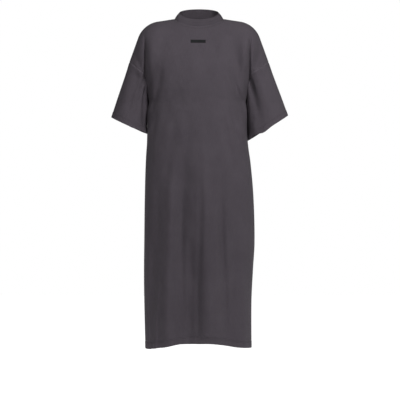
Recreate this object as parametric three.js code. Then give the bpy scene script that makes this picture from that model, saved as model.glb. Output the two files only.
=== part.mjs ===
// An oversized t-shirt dress in heavy jersey, hanging in its worn shape with nobody in it.
// Front panel, back panel, two elbow-length sleeves set in at dropped shoulders, a doubled
// collar band and a plain tab on the chest. Every piece is a wall of cloth: an outer sheet
// of points worked out from the sizes below, an inner sheet one wall inside it, and a rim.
//
// Millimetres, +Z up, the front faces -Y. The origin lies midway between the two points
// where the shoulder seams meet the collar, which is where the wearer carries the dress.

import * as THREE from 'three';

// ---------------------------------------------------------------- driving dimensions

const WALL = 2.0;              // jersey, and the collar's pressed double rib
const TAB_WALL = 0.8;          // chest tab
const SEAM_INSET = 0.2;        // each edge draws back this far from its seam line, to leave a gap
const BAND_INSET = 0.45;       // the collar draws back more, because its seam turns sharply
const SLEEVE_INSET = 0.95;     // and so do the sleeves, in the deep crease under the arm
const TAB_LIFT = 0.4;          // from the chest tab to the panel under it

const NECK_HALF = 88;          // collar seam: half its width at the shoulder seams
const NECK_FRONT_DROP = 34;    // collar seam at centre front, below the origin
const NECK_BACK_RISE = 12;     // collar seam at centre back, above the origin
const NECK_CURVE = { front: 1.4, back: 4 }; // higher flattens the seam beside the shoulders
const NAPE_LIFT = 38;          // how much steeper the back rises under the collar

const SHOULDER_SLOPE = 9;      // degrees below level
const SHOULDER_REACH = 114;    // from the collar seam to where the two outlines would cross
const SHOULDER_ROUND = 90;     // radius between the shoulder outline and the sleeve outline
const SLEEVE_LEAN = 20;        // degrees the outer edge of the sleeve leans from upright
const SHOULDER_SEAM_DROP = 156; // outer end of the shoulder seam, below the origin

const UNDERARM_DROP = 300;     // where side seam and sleeve seam meet
const CHEST_FRONT = 132;       // cloth in front of the origin at the chest
const CHEST_BACK = 123;        // and behind it
const ARM_FRONT = 74;          // cloth over the upper arm, in front
const ARM_BACK = 74;           // and behind
const ARM_ROUND = 78;          // how far in from its outline the arm rounds over
const ARM_INNER_ROUND = 60;    // and how far out from the crease beside the body
const BLEND = 4;               // sharpness of the join between body and arm, higher is sharper
const BODY_POWER = 2.4;        // 2 is an ellipse, higher is boxier

const SIDE_PRESS_BACK = 15;    // the arm presses the side of the body here, behind the origin
const SIDE_PRESS_WIDE = 34;
const SIDE_PRESS_START = 60;   // it sets in over this height above the underarm

const BAND_TOP_HALF = 70;      // top edge of the collar
const BAND_TOP_FRONT = 55;
const BAND_TOP_BACK = 56;
const BAND_TOP_LEVEL = { front: -8, side: 24, back: 42 };

const TAB = { wide: 53, high: 12, side: -3, drop: 91, tilt: 1.0 };

// Body from the underarm down: half widths to each side of the origin, depths before and
// behind it, and how far the hanging arm presses the side in.
const BODY = [
  { drop: 300, left: 182, right: 171, front: 132, back: 123, press: 6 },
  { drop: 340, left: 190, right: 177, front: 134, back: 122, press: 16 },
  { drop: 430, left: 192, right: 180, front: 136, back: 124, press: 16 },
  { drop: 520, left: 193, right: 187, front: 138, back: 131, press: 3 },
  { drop: 640, left: 195, right: 196, front: 140, back: 140, press: 0 },
  { drop: 800, left: 197, right: 200, front: 141, back: 145, press: 0 },
  { drop: 905, left: 198, right: 194, front: 141, back: 145, press: 0 },
  { drop: 1010, left: 197, right: 189, front: 140, back: 144, press: 0 },
  { drop: 1180, left: 193, right: 189, front: 138, back: 142, press: 0 },
];

// Above the underarm the body narrows into the crease beside the arm. The half width is the
// underarm's plus "wider"; the arm's own cloth starts "inside" that far short of it.
const CREASE = [
  { drop: 0, wider: 90, inside: 60 },
  { drop: 75, wider: 74, inside: 58 },
  { drop: 150, wider: 40, inside: 44 },
  { drop: 200, wider: 20, inside: 22 },
  { drop: 250, wider: 9, inside: 10 },
  { drop: 300, wider: 0, inside: 0 },
];

// How far down the cloth takes to round over from the shoulder line to the upright front.
const SHOULDER_FALL = [
  { out: 0, front: 300, back: 250 },
  { out: 88, front: 255, back: 215 },
  { out: 176, front: 190, back: 175 },
  { out: 260, front: 120, back: 120 },
];

// Armhole seam from the shoulder seam's end (out 1) to the underarm (out 0).
const ARMHOLE = [
  { along: 0.00, out: 1.00, drop: 156 },
  { along: 0.25, out: 0.68, drop: 174 },
  { along: 0.42, out: 0.42, drop: 190 },
  { along: 0.58, out: 0.19, drop: 204 },
  { along: 0.78, out: 0.05, drop: 243 },
  { along: 1.00, out: 0.00, drop: 300 },
];

// Cuffs: the outer and inner corners of the opening and its half depth, front to back.
const CUFF = {
  right: { outer: 320, outerDrop: 347, inner: 169, innerDrop: 441, deep: 77, behind: 12 },
  left: { outer: 315, outerDrop: 354, inner: 184, innerDrop: 413, deep: 87, behind: 10 },
};
const CUFF_FRONT_DROOP = 4;    // the front of each opening hangs a little lower
const SLEEVE_BOW = 8;          // the inner side of each sleeve bows away from the body

// Hem height by the turn around the body, 0 at centre front, 180 at centre back.
const HEM = [
  { turn: 0, drop: 1152 },
  { turn: 20, drop: 1158 },
  { turn: 45, drop: 1171 },
  { turn: 90, drop: 1181 },
  { turn: 180, drop: 1185 },
];

// The left side seam swings towards the front as it nears the hem, in degrees.
const SEAM_SWING = [
  { drop: 300, left: 0, right: 0 },
  { drop: 820, left: 0, right: 0 },
  { drop: 960, left: 20, right: -4 },
  { drop: 1180, left: 26, right: -6 },
];

// The largest folds. Each runs straight from one place to another; deep is into the body.
const FOLDS = [
  { face: 'front', fromSide: -4, fromDrop: 520, toSide: -2, toDrop: 1250, wide: 22, deep: 13 },
  { face: 'front', fromSide: -48, fromDrop: 540, toSide: -62, toDrop: 1250, wide: 24, deep: 9 },
  { face: 'front', fromSide: -30, fromDrop: 600, toSide: -28, toDrop: 1300, wide: 50, deep: 9 },
  { face: 'front', fromSide: 92, fromDrop: 640, toSide: 96, toDrop: 1240, wide: 24, deep: 6 },
  { face: 'front', fromSide: -132, fromDrop: 690, toSide: -126, toDrop: 1240, wide: 24, deep: 8 },
  { face: 'front', fromSide: -128, fromDrop: 170, toSide: -172, toDrop: 420, wide: 20, deep: 9 },
  { face: 'front', fromSide: 108, fromDrop: 180, toSide: 168, toDrop: 400, wide: 20, deep: 9 },
  { face: 'front', fromSide: 186, fromDrop: 50, toSide: 172, toDrop: 320, wide: 18, deep: 15 },
  { face: 'front', fromSide: -196, fromDrop: 50, toSide: -186, toDrop: 320, wide: 18, deep: 15 },
  { face: 'back', fromSide: 6, fromDrop: 120, toSide: 0, toDrop: 760, wide: 46, deep: 10 },
  { face: 'back', fromSide: -62, fromDrop: 560, toSide: -74, toDrop: 1260, wide: 28, deep: 10 },
  { face: 'back', fromSide: 40, fromDrop: 600, toSide: 52, toDrop: 1260, wide: 28, deep: 12 },
  { face: 'back', fromSide: 128, fromDrop: 660, toSide: 124, toDrop: 1250, wide: 24, deep: 7 },
  { face: 'back', fromSide: -104, fromDrop: 150, toSide: -150, toDrop: 440, wide: 24, deep: 8 },
  { face: 'back', fromSide: 98, fromDrop: 150, toSide: 140, toDrop: 430, wide: 24, deep: 8 },
  { face: 'back', fromSide: 186, fromDrop: 60, toSide: 172, toDrop: 320, wide: 20, deep: 12 },
  { face: 'back', fromSide: -194, fromDrop: 60, toSide: -184, toDrop: 320, wide: 20, deep: 12 },
];
const FOLD_FADE = 0.3;         // share of a fold's length over which each end dies out
const FOLD_EDGE = 60;          // folds weaken where the cloth is nearer the middle than this

// Grid: columns from centre front to the side, and rows down a panel.
const NECK_COLUMNS = 5;
const SHOULDER_COLUMNS = 8;
const HALF_COLUMNS = NECK_COLUMNS + SHOULDER_COLUMNS;
const UPPER_ROWS = 12;
const LOWER_ROWS = 17;
const PANEL_ROWS = UPPER_ROWS + LOWER_ROWS;
const TOP_CROWDING = 1.45;     // draws the first rows together over the round of the shoulder
const SLEEVE_ROWS = 7;
const BAND_ROWS = 3;
const TAB_COLUMNS = 6;

// ---------------------------------------------------------------- small helpers

const radians = THREE.MathUtils.degToRad;
const lerp = THREE.MathUtils.lerp;
const clamp = THREE.MathUtils.clamp;

/** One column of a table at any station, on a cubic through the rows; level past the ends. */
function read(table, station, column, at) {
  const last = table.length - 1;
  if (at <= table[0][station]) return table[0][column];
  if (at >= table[last][station]) return table[last][column];
  const i = table.findIndex((row, index) => index < last && at <= table[index + 1][station]);
  const slope = (k) => {
    const before = table[Math.max(k - 1, 0)];
    const after = table[Math.min(k + 1, last)];
    return (after[column] - before[column]) / (after[station] - before[station]);
  };
  const span = table[i + 1][station] - table[i][station];
  const t = (at - table[i][station]) / span;
  const [t2, t3] = [t * t, t * t * t];
  return (2 * t3 - 3 * t2 + 1) * table[i][column] + (t3 - 2 * t2 + t) * span * slope(i)
    + (3 * t2 - 2 * t3) * table[i + 1][column] + (t3 - t2) * span * slope(i + 1);
}

/** Quarter of a rounded corner: 1 at share 0, falling upright to 0 at share 1. */
const rounded = (share, power) =>
  (1 - clamp(Math.abs(share), 0, 1) ** power) ** (1 / power);

const eased = (t) => THREE.MathUtils.smoothstep(t, 0, 1);

// ---------------------------------------------------------------- shoulder outline

// Seen from the front, the outline runs down the shoulder, round an arc and down the sleeve.
const outline = (() => {
  const along = new THREE.Vector2(Math.cos(radians(SHOULDER_SLOPE)), -Math.sin(radians(SHOULDER_SLOPE)));
  const down = new THREE.Vector2(Math.sin(radians(SLEEVE_LEAN)), -Math.cos(radians(SLEEVE_LEAN)));
  const neck = new THREE.Vector2(NECK_HALF, 0);
  const corner = neck.clone().addScaledVector(along, SHOULDER_REACH);
  const turn = radians(90 - SHOULDER_SLOPE - SLEEVE_LEAN);
  const tangent = SHOULDER_ROUND * Math.tan(turn / 2);
  const arcStart = corner.clone().addScaledVector(along, -tangent);
  const arcEnd = corner.clone().addScaledVector(down, tangent);
  const centre = arcStart.clone().add(new THREE.Vector2(along.y, -along.x).multiplyScalar(SHOULDER_ROUND));
  const seamEnd = arcEnd.clone()
    .addScaledVector(down, (-SHOULDER_SEAM_DROP - arcEnd.y) / down.y);
  const lengths = [arcStart.distanceTo(neck), SHOULDER_ROUND * turn, seamEnd.distanceTo(arcEnd)];
  return { along, down, neck, corner, arcStart, arcEnd, centre, seamEnd, lengths };
})();

/** Point of the shoulder seam, as [out, up], at a share of its length from the collar. */
function shoulderSeam(share) {
  const [straight, arc, drop] = outline.lengths;
  let walked = share * (straight + arc + drop);
  if (walked <= straight) return outline.neck.clone().addScaledVector(outline.along, walked).toArray();
  walked -= straight;
  if (walked <= arc) {
    const angle = radians(90 - SHOULDER_SLOPE) - walked / SHOULDER_ROUND;
    return [outline.centre.x + SHOULDER_ROUND * Math.cos(angle),
      outline.centre.y + SHOULDER_ROUND * Math.sin(angle)];
  }
  return outline.arcEnd.clone().addScaledVector(outline.down, walked - arc).toArray();
}

/** Height of the outline above a place out from the middle; inside the collar it arches over. */
function ridge(face, out) {
  const slope = Math.tan(radians(SHOULDER_SLOPE));
  if (out <= NECK_HALF) {
    const share = (out / NECK_HALF) ** 2;
    const nape = face === 'back' ? NAPE_LIFT * (1 - share) ** 2 : 0;
    return slope * NECK_HALF * (1 - share) / 2 + nape;
  }
  if (out <= outline.arcStart.x) return -slope * (out - NECK_HALF);
  if (out <= outline.arcEnd.x) {
    return outline.centre.y + Math.sqrt(SHOULDER_ROUND ** 2 - (out - outline.centre.x) ** 2);
  }
  return outline.arcEnd.y + (out - outline.arcEnd.x) * outline.down.y / outline.down.x;
}

/** Distance of a place inside the outline from the nearest part of it. */
function inFromOutline(out, up) {
  const place = new THREE.Vector2(out, up);
  const fromCentre = place.clone().sub(outline.centre);
  const beyondStart = fromCentre.dot(outline.along) > 0;
  const beforeEnd = fromCentre.dot(outline.down) < 0;
  if (beyondStart && beforeEnd) return SHOULDER_ROUND - fromCentre.length();
  const shoulder = place.clone().sub(outline.neck).cross(outline.along) * -1;
  const sleeve = place.clone().sub(outline.corner).cross(outline.down) * -1;
  return Math.min(Math.abs(shoulder), Math.abs(sleeve));
}

// ---------------------------------------------------------------- the worn form

const sign = { front: -1, back: 1 };
const sideName = (x) => (x < 0 ? 'left' : 'right');
const chestDepth = { front: CHEST_FRONT, back: CHEST_BACK };
const armDepth = { front: ARM_FRONT, back: ARM_BACK };

/** How far the folds push the cloth in at a place: a soft trough along each fold's line. */
function folds(face, x, z) {
  let push = 0;
  for (const fold of FOLDS) {
    const t = (-z - fold.fromDrop) / (fold.toDrop - fold.fromDrop);
    if (fold.face !== face || t <= 0 || t >= 1) continue;
    const off = (x - lerp(fold.fromSide, fold.toSide, t)) / fold.wide;
    const ends = eased(Math.min(t, 1 - t) / FOLD_FADE);
    push += fold.deep * Math.exp(-off * off) * ends;
  }
  return push;
}

/** Depth of the cloth before or behind the shoulder line, above the underarm. */
function upperDepth(face, x, z) {
  const out = Math.abs(x);
  const underarm = BODY[0][sideName(x)];
  const bodyHalf = underarm + read(CREASE, 'drop', 'wider', -z);
  const armInner = underarm - read(CREASE, 'drop', 'inside', -z);
  const fall = (ridge(face, out) - z) / read(SHOULDER_FALL, 'out', face, out);
  const body = chestDepth[face] * rounded(1 - clamp(fall, 0, 1), 2) * rounded(out / bodyHalf, BODY_POWER);
  const outer = rounded(1 - clamp(inFromOutline(out, z) / ARM_ROUND, 0, 1), 2);
  const inner = rounded(1 - clamp((out - armInner) / ARM_INNER_ROUND, 0, 1), BODY_POWER);
  const arm = armDepth[face] * outer * inner;
  return (body ** BLEND + arm ** BLEND) ** (1 / BLEND);
}

/** Depth of the cloth from the underarm to the hem: a boxy oval. */
function lowerDepth(face, x, z) {
  const half = read(BODY, 'drop', sideName(x), -z);
  return read(BODY, 'drop', face, -z) * rounded(x / half, BODY_POWER);
}

/** The cloth over a place seen from the front or back, with its folds and the arm's press. */
function cloth(face, x, z) {
  const depth = -z < UNDERARM_DROP ? upperDepth(face, x, z) : lowerDepth(face, x, z);
  const push = folds(face, x, z) * Math.min(1, depth / FOLD_EDGE);
  const y = sign[face] * (depth - push);
  const half = BODY[0][sideName(x)];
  const atSide = eased((Math.abs(x) / half - 0.6) / 0.3);
  const begun = eased((-z - UNDERARM_DROP) / SIDE_PRESS_START + 1);
  const press = read(BODY, 'drop', 'press', -z) * atSide * begun
    * Math.exp(-(((y - SIDE_PRESS_BACK) / SIDE_PRESS_WIDE) ** 2));
  return new THREE.Vector3(x - Math.sign(x) * press, y, z);
}

// ---------------------------------------------------------------- panels

const ALONG_NECK = NECK_COLUMNS / HALF_COLUMNS;
const neckLevel = { front: -NECK_FRONT_DROP, back: NECK_BACK_RISE };

/** Top edge of a panel as [out, up]: collar seam, then shoulder seam. */
function topEdge(face, u) {
  if (u > ALONG_NECK) return shoulderSeam((u - ALONG_NECK) / (1 - ALONG_NECK));
  const turn = radians(90) * u / ALONG_NECK;
  return [NECK_HALF * Math.sin(turn), neckLevel[face] * Math.cos(turn) ** NECK_CURVE[face]];
}

/** Armhole seam as [out, up], from the end of the shoulder seam to the underarm. */
function armholeEdge(side, t) {
  const underarm = BODY[0][side];
  return [underarm + (outline.seamEnd.x - underarm) * read(ARMHOLE, 'along', 'out', t),
    -read(ARMHOLE, 'along', 'drop', t)];
}

/** Place in the upper part of a panel: its four edges blended across (a Coons patch). */
function upperPlace(face, side, u, t) {
  const top = topEdge(face, u);
  const edge = armholeEdge(side, t);
  const half = BODY[0][side];
  const bottom = [half * Math.sin(radians(90) * u), -UNDERARM_DROP];
  const middle = [0, lerp(neckLevel[face], -UNDERARM_DROP, t)];
  const corners = [[0, neckLevel[face]], outline.seamEnd.toArray(), [0, -UNDERARM_DROP], [half, -UNDERARM_DROP]];
  return [0, 1].map((k) => (1 - t) * top[k] + t * bottom[k] + (1 - u) * middle[k] + u * edge[k]
    - (1 - u) * (1 - t) * corners[0][k] - u * (1 - t) * corners[1][k]
    - (1 - u) * t * corners[2][k] - u * t * corners[3][k]);
}

/** Hem height at a turn around the body in degrees. */
const hemDrop = (turn) => read(HEM, 'turn', 'drop', Math.abs(turn));

/** Point of a panel below the underarm; u runs from side seam to side seam, -1 to 1. */
function lowerPoint(face, u, t) {
  const middleTurn = 90 * u;
  const plainTurn = face === 'front' ? middleTurn : 180 - middleTurn;
  const drop = lerp(UNDERARM_DROP, hemDrop(Math.min(plainTurn, 360 - plainTurn)), t);
  const swing = read(SEAM_SWING, 'drop', sideName(u), drop) * Math.abs(u) ** 3;
  const turn = Math.abs(middleTurn) + (face === 'front' ? -swing : swing);
  const over = turn > 90;
  const half = read(BODY, 'drop', sideName(u), drop);
  const x = Math.sign(u) * half * Math.sin(radians(over ? 180 - turn : turn));
  const seenFrom = over ? (face === 'front' ? 'back' : 'front') : face;
  return cloth(seenFrom, x, -drop);
}

/** Outer sheet of a panel: rows from the top edge down, columns from -X to +X. */
function panelSheet(face) {
  const sheet = [];
  for (let row = 0; row <= PANEL_ROWS; row++) {
    const points = [];
    for (let column = -HALF_COLUMNS; column <= HALF_COLUMNS; column++) {
      const u = column / HALF_COLUMNS;
      if (row > UPPER_ROWS) {
        points.push(lowerPoint(face, u, (row - UPPER_ROWS) / LOWER_ROWS));
        continue;
      }
      const t = (row / UPPER_ROWS) ** TOP_CROWDING;
      const [out, up] = upperPlace(face, sideName(column), Math.abs(u), t);
      points.push(cloth(face, Math.sign(u) * out, up));
    }
    sheet.push(points);
  }
  return sheet;
}

// ---------------------------------------------------------------- sleeves and collar

/** A ring of points joined into one: down the front list, back up the back list. */
const ring = (front, back) => [...front, ...back.slice(1, -1).reverse()];

/** Share of a line's length at each of its points. */
function shares(points) {
  const walked = [0];
  for (let i = 1; i < points.length; i++) walked.push(walked[i - 1] + points[i].distanceTo(points[i - 1]));
  return walked.map((length) => length / walked[walked.length - 1]);
}

/** Cuff point: turn 0 at the outer corner, 1 at the inner corner. */
function cuffPoint(side, face, turn) {
  const cuff = CUFF[side];
  const angle = Math.PI * turn;
  const across = (1 + Math.cos(angle)) / 2;
  const x = lerp(cuff.inner, cuff.outer, across);
  const droop = face === 'front' ? CUFF_FRONT_DROOP * Math.sin(angle) : 0;
  return new THREE.Vector3((side === 'left' ? -1 : 1) * x,
    cuff.behind * (1 - across) + sign[face] * cuff.deep * Math.sin(angle),
    -lerp(cuff.innerDrop, cuff.outerDrop, across) - droop);
}

/** Outer sheet of a sleeve: lines from the armhole seam to the cuff, bowed beside the body. */
function sleeveSheet(side, sheets) {
  const column = side === 'left' ? 0 : 2 * HALF_COLUMNS;
  const armhole = {};
  const around = {};
  const cuff = {};
  for (const face of ['front', 'back']) {
    armhole[face] = sheets[face].slice(0, UPPER_ROWS + 1).map((row) => row[column]);
    around[face] = shares(armhole[face]);
    cuff[face] = around[face].map((share) => cuffPoint(side, face, share));
  }
  const top = ring(armhole.front, armhole.back);
  const bottom = ring(cuff.front, cuff.back);
  const turns = ring(around.front, around.back);
  const outward = side === 'left' ? -1 : 1;
  const sheet = [];
  for (let row = 0; row <= SLEEVE_ROWS; row++) {
    const t = row / SLEEVE_ROWS;
    const bow = SLEEVE_BOW * Math.sqrt(Math.sin(Math.PI * t));
    sheet.push(top.map((point, i) => {
      const line = point.clone().lerp(bottom[i], t);
      line.x += outward * bow * turns[i] ** 2;
      return line;
    }));
  }
  return sheet;
}

/** Outer sheet of the collar band: it rises and closes in from the collar seam. */
function bandSheet(sheets) {
  const from = HALF_COLUMNS - NECK_COLUMNS;
  const to = HALF_COLUMNS + NECK_COLUMNS + 1;
  const seam = ring(sheets.front[0].slice(from, to), sheets.back[0].slice(from, to));
  const level = BAND_TOP_LEVEL;
  const sheet = [];
  for (let row = 0; row <= BAND_ROWS; row++) {
    const t = row / BAND_ROWS;
    sheet.push(seam.map((base, i) => {
      const turn = 2 * Math.PI * i / seam.length - Math.PI / 2;
      const [sideways, forward] = [Math.sin(turn), Math.cos(turn)];
      const end = forward > 0 ? level.front : level.back;
      const top = new THREE.Vector3(BAND_TOP_HALF * sideways,
        -forward * (forward > 0 ? BAND_TOP_FRONT : BAND_TOP_BACK),
        lerp(level.side, end, Math.abs(forward)));
      return base.clone().lerp(top, t);
    }));
  }
  return sheet;
}

// ---------------------------------------------------------------- walls

/** Outward direction at every point of a sheet, square to the lines through its neighbours. */
function facings(sheet, wrap) {
  const columns = sheet[0].length;
  const beside = (i, step) => (wrap ? (i + step + columns) % columns : clamp(i + step, 0, columns - 1));
  const directions = sheet.map((points, row) => points.map((_, i) => {
    const across = points[beside(i, 1)].clone().sub(points[beside(i, -1)]);
    const above = sheet[Math.max(row - 1, 0)][i];
    const below = sheet[Math.min(row + 1, sheet.length - 1)][i];
    return across.cross(below.clone().sub(above)).normalize();
  }));
  let outward = 0;
  sheet.forEach((points, row) => {
    const middle = points.reduce((sum, point) => sum.add(point), new THREE.Vector3()).divideScalar(columns);
    if (!wrap) middle.set(0, 0, middle.z);
    points.forEach((point, i) => { outward += point.clone().sub(middle).dot(directions[row][i]); });
  });
  if (outward < 0) directions.flat().forEach((direction) => direction.negate());
  return directions;
}

const placeKey = (point) => point.toArray().map((value) => Math.round(value * 1000)).join(' ');

/** Closed geometry between an outer sheet and the sheet one wall inside it. */
function wallGeometry({ outer, inner, wrap }) {
  const columns = outer[0].length;
  const rows = outer.length;
  const positions = [...outer.flat(), ...inner.flat()].flatMap((point) => point.toArray());
  const at = (layer, row, i) => layer * rows * columns + row * columns + (i % columns);
  const index = [];
  const quad = (a, b, c, d) => index.push(a, b, c, a, c, d);
  const across = wrap ? columns : columns - 1;
  for (let row = 0; row < rows - 1; row++) {
    for (let i = 0; i < across; i++) {
      quad(at(0, row, i), at(0, row, i + 1), at(0, row + 1, i + 1), at(0, row + 1, i));
      quad(at(1, row, i), at(1, row + 1, i), at(1, row + 1, i + 1), at(1, row, i + 1));
    }
  }
  for (let i = 0; i < across; i++) {
    quad(at(0, 0, i), at(1, 0, i), at(1, 0, i + 1), at(0, 0, i + 1));
    quad(at(0, rows - 1, i + 1), at(1, rows - 1, i + 1), at(1, rows - 1, i), at(0, rows - 1, i));
  }
  for (let row = 0; row < rows - 1 && !wrap; row++) {
    quad(at(0, row + 1, 0), at(1, row + 1, 0), at(1, row, 0), at(0, row, 0));
    quad(at(0, row, across), at(1, row, across), at(1, row + 1, across), at(0, row + 1, across));
  }
  const geometry = new THREE.BufferGeometry();
  geometry.setAttribute('position', new THREE.Float32BufferAttribute(positions, 3));
  geometry.setIndex(enclosed(positions, index) > 0 ? index : index.reverse());
  geometry.computeVertexNormals();
  return geometry;
}

/** Six times the volume that a list of triangles encloses, negative when they face in. */
function enclosed(positions, index) {
  const corner = (k) => new THREE.Vector3().fromArray(positions, 3 * index[k]);
  let sum = 0;
  for (let k = 0; k < index.length; k += 3) sum += corner(k).dot(corner(k + 1).cross(corner(k + 2)));
  return sum;
}

/** Points of a piece that lie on seams, each with the way into the piece from there. */
function seamPoints({ sheet, sewnSides }) {
  const last = sheet[0].length - 1;
  const found = [];
  sheet.forEach((points, row) => points.forEach((point, i) => {
    const into = new THREE.Vector3();
    if (row === 0) into.add(sheet[1][i].clone().sub(point).normalize());
    if (sewnSides && i === 0) into.add(points[1].clone().sub(point).normalize());
    if (sewnSides && i === last) into.add(points[last - 1].clone().sub(point).normalize());
    if (into.length() > 0) found.push({ row, i, key: placeKey(point), into: into.normalize() });
  }));
  return found;
}

/** Sums vectors by the place they belong to. */
function gather(entries) {
  const sums = new Map();
  for (const { key, vector } of entries) {
    const entry = sums.get(key) ?? { sum: new THREE.Vector3(), count: 0 };
    entry.sum.add(vector);
    entry.count += 1;
    sums.set(key, entry);
  }
  return sums;
}

/** Gives every piece its inner sheet and draws it back from its seams. Pieces that share a
    seam point share the direction of its wall, and part from each other there. */
function buildWalls(pieces) {
  const outward = gather(pieces.flatMap((piece) => {
    const directions = facings(piece.sheet, piece.wrap).flat();
    return piece.sheet.flat().map((point, k) => ({ key: placeKey(point), vector: directions[k] }));
  }));
  for (const column of [0, 2 * HALF_COLUMNS]) {
    outward.get(placeKey(sheets.front[UPPER_ROWS][column])).sum.set(0, 0, -1);
  }
  const seams = pieces.map(seamPoints);
  const into = gather(seams.flat().map(({ key, into: vector }) => ({ key, vector })));
  pieces.forEach((piece, k) => {
    const outer = piece.sheet.map((points) => points.map((point) => point.clone()));
    piece.inner = outer.map((points) => points.map((point) =>
      point.clone().addScaledVector(outward.get(placeKey(point)).sum.clone().normalize(), -WALL)));
    piece.outer = outer;
    for (const { row, i, key, into: own } of seams[k]) {
      const { sum, count } = into.get(key);
      const apart = own.clone().multiplyScalar(count).sub(sum).normalize();
      piece.outer[row][i].addScaledVector(apart, piece.inset);
      piece.inner[row][i].addScaledVector(apart, piece.inset);
    }
  });
}

/** Chest tab: the front panel's own points over a small rectangle, moved out. */
function tabPiece() {
  const sheet = [];
  for (let row = 0; row <= 1; row++) {
    const points = [];
    for (let column = 0; column <= TAB_COLUMNS; column++) {
      const across = TAB.wide * (column / TAB_COLUMNS - 0.5);
      const down = TAB.high * (row - 0.5);
      const lean = Math.sin(radians(TAB.tilt)) * across;
      points.push(cloth('front', TAB.side + across, -TAB.drop - down - lean));
    }
    sheet.push(points);
  }
  const directions = facings(sheet, false);
  const moved = (distance) => sheet.map((points, row) => points.map((point, i) =>
    point.clone().addScaledVector(directions[row][i], distance)));
  return { name: 'chest_tab', outer: moved(TAB_LIFT + TAB_WALL), inner: moved(TAB_LIFT), wrap: false };
}

// ---------------------------------------------------------------- materials and assembly

const jersey = () => new THREE.MeshStandardMaterial({ color: 0x484349, roughness: 0.95, metalness: 0 });
const rib = () => new THREE.MeshStandardMaterial({ color: 0x454047, roughness: 0.95, metalness: 0 });
const twill = () => new THREE.MeshStandardMaterial({ color: 0x222325, roughness: 0.85, metalness: 0 });

const sheets = { front: panelSheet('front'), back: panelSheet('back') };

const sewn = [
  { name: 'front_panel', sheet: sheets.front, wrap: false, sewnSides: true, inset: SEAM_INSET, material: jersey() },
  { name: 'back_panel', sheet: sheets.back, wrap: false, sewnSides: true, inset: SEAM_INSET, material: jersey() },
  { name: 'sleeve_left', sheet: sleeveSheet('left', sheets), wrap: true, inset: SLEEVE_INSET, material: jersey() },
  { name: 'sleeve_right', sheet: sleeveSheet('right', sheets), wrap: true, inset: SLEEVE_INSET, material: jersey() },
  { name: 'collar_band', sheet: bandSheet(sheets), wrap: true, inset: BAND_INSET, material: rib() },
];
buildWalls(sewn);
const pieces = [...sewn, { ...tabPiece(), material: twill() }];

const dress = new THREE.Group();
for (const piece of pieces) {
  const mesh = new THREE.Mesh(wallGeometry(piece), piece.material);
  mesh.name = piece.name;
  dress.add(mesh);
}

export default dress;
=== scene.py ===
# %% [markdown]
# # A heavy jersey t-shirt dress
#
# The dress is six pieces of cloth: a front, a back, two wide sleeves set in at dropped
# shoulders, a doubled collar band and a small plain tab on the chest. The frame holds each
# as a stiff wall in the right place. This lesson gives every piece the soft surface of
# washed jersey: finer folds, sunk seams, turned hems, rows of stitching and a knit.

# %% Load the frame
import bpy
import numpy as np
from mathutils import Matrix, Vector


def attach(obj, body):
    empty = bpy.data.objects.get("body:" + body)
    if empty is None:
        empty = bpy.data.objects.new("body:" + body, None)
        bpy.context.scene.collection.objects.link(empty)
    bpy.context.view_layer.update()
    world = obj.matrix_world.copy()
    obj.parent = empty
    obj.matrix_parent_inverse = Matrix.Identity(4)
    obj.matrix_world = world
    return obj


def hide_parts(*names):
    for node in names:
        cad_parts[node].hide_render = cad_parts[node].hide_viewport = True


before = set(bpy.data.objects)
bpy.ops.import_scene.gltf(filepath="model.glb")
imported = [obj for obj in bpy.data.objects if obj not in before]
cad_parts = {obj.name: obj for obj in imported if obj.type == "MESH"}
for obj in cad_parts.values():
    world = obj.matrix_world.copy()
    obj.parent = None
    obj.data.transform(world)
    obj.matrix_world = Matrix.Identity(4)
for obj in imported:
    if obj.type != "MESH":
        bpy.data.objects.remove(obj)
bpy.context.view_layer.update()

MM = 0.001          # tables are in a tailor's millimetres, meshes in metres

# %% [markdown]
# ## Sizes
#
# A garment is easiest to describe by rows: at this drop below the shoulder it is so wide
# and so deep. Tables could be typed as long lists of points, but a few rows with a smooth
# curve between them are shorter and easier to change. The curve is a cubic that passes
# through every row with the slope its neighbours suggest.


# %% Tables and the curve through their rows
def rows(names, *values):
    """A table as a dictionary: one array for each named column."""
    return {name: np.array(column) for name, column in zip(names.split(), zip(*values))}


def read(table, station, column, at):
    """One column at any stations: a cubic Hermite curve through the rows, level past the ends.
    The slope at a row is the rise between its two neighbours over their distance."""
    x, y = table[station].astype(float), table[column].astype(float)
    before = np.maximum(np.arange(len(x)) - 1, 0)
    after = np.minimum(np.arange(len(x)) + 1, len(x) - 1)
    slope = (y[after] - y[before]) / (x[after] - x[before])
    at = np.clip(at, x[0], x[-1])
    i = np.clip(np.searchsorted(x, at, side="right") - 1, 0, len(x) - 2)
    span = x[i + 1] - x[i]
    t = (at - x[i]) / span
    return ((2 * t**3 - 3 * t**2 + 1) * y[i] + (t**3 - 2 * t**2 + t) * span * slope[i]
            + (3 * t**2 - 2 * t**3) * y[i + 1] + (t**3 - t**2) * span * slope[i + 1])


def eased(t):
    """0 to 1 with level ends: 3t^2 - 2t^3."""
    t = np.clip(t, 0, 1)
    return t * t * (3 - 2 * t)


def rounded(share, power):
    """A rounded corner: 1 at share 0, falling upright to 0 at share 1, (1 - share^p)^(1/p)."""
    return (1 - np.clip(np.abs(share), 0, 1) ** power) ** (1 / power)


def bell(off):
    """A soft bump of height 1: e to the power of minus the square."""
    return np.exp(-off * off)


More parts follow.
